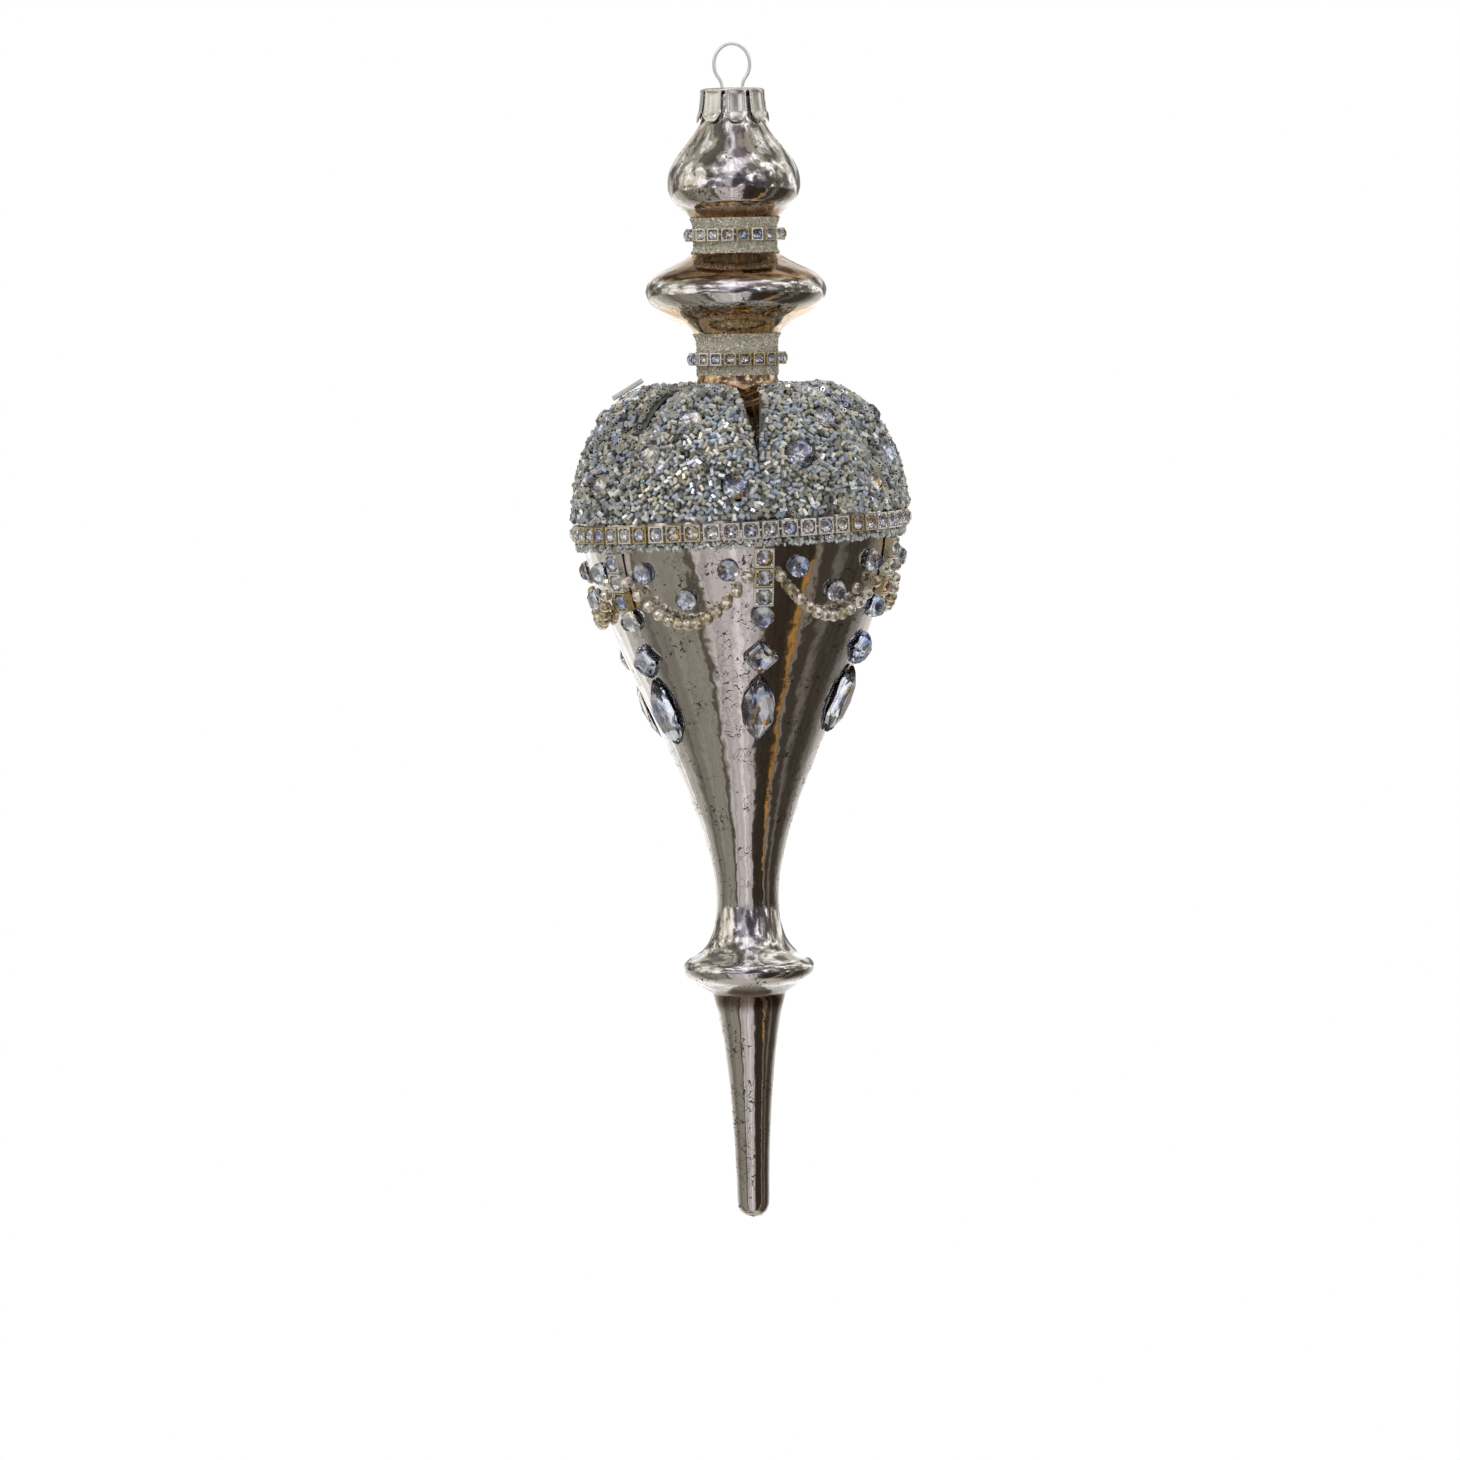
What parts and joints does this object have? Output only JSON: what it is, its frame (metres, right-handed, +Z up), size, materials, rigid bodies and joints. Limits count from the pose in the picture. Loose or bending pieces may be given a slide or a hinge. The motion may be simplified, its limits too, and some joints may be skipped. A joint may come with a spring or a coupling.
{
  "type": "icicle hanging ornament",
  "caption": "Slender silvered glass finial with a lobed beaded shoulder, crystal trim, a long spike and a wire hanging loop in a crown cap.",
  "frame": {"origin": "under the crown of the wire loop, where a hook bears; the ornament hangs below it", "axes": "+Z up along the ornament's axis, -Y the front, which one crease of the shoulder faces to within a few degrees; the loop lies in the XZ plane and a hook passes through it along Y"},
  "size_m": [0.0686, 0.0686, 0.2363],
  "materials": {
    "loop_wire": "drawn spring wire",
    "cap_metal": "stamped and polished",
    "silvered_glass": "silvered inside, speckled champagne",
    "waist_glitter": "glued glitter",
    "cup_metal": "pale gold plate",
    "crystal": "faceted, foil backed",
    "coat_beads": "silver-lined seed and bugle beads",
    "edging_beads": "fine silver-lined beads",
    "swag_beads": "champagne metallic"
  },
  "bodies": {
    "hanger": {"wire_loop": "loop_wire"},
    "crown": {"cap": "cap_metal"},
    "finial": {"glass_shell": "silvered_glass", "upper_glitter_band": "waist_glitter", "lower_glitter_band": "waist_glitter", "upper_ring_cups": "cup_metal", "upper_ring_stones": "crystal", "lower_ring_cups": "cup_metal", "lower_ring_stones": "crystal", "belt_cups": "cup_metal", "belt_stones": "crystal", "belt_edging": "edging_beads", "bead_coat_1": "coat_beads", "bead_coat_2": "coat_beads", "bead_coat_3": "coat_beads", "bead_coat_4": "coat_beads", "bead_coat_5": "coat_beads", "bead_coat_6": "coat_beads", "shoulder_stones_1": "crystal", "shoulder_stones_2": "crystal", "shoulder_stones_3": "crystal", "shoulder_stones_4": "crystal", "shoulder_stones_5": "crystal", "shoulder_stones_6": "crystal", "post_cups_1": "cup_metal", "post_cups_2": "cup_metal", "post_cups_3": "cup_metal", "post_cups_4": "cup_metal", "post_cups_5": "cup_metal", "post_cups_6": "cup_metal", "post_stones_1": "crystal", "post_stones_2": "crystal", "post_stones_3": "crystal", "post_stones_4": "crystal", "post_stones_5": "crystal", "post_stones_6": "crystal", "swag_1": "swag_beads", "swag_2": "swag_beads", "swag_3": "swag_beads", "swag_4": "swag_beads", "swag_5": "swag_beads", "swag_6": "swag_beads", "panel_stones_1": "crystal", "panel_stones_2": "crystal", "panel_stones_3": "crystal", "panel_stones_4": "crystal", "panel_stones_5": "crystal", "panel_stones_6": "crystal", "drop_stones_1": "crystal", "drop_stones_2": "crystal", "drop_stones_3": "crystal", "drop_stones_4": "crystal", "drop_stones_5": "crystal", "drop_stones_6": "crystal"}
  },
  "joints": [
    {"name": "loop_rock", "type": "hinge", "parent": "hanger", "child": "crown", "pos_m": [0, 0, -0.00868], "axis": [1, 0, 0], "range_deg": [-6, 6]},
    {"name": "glass_pull", "type": "slide", "parent": "crown", "child": "finial", "axis": [0, 0, -1], "range_m": [0, 0.018]}
  ]
}
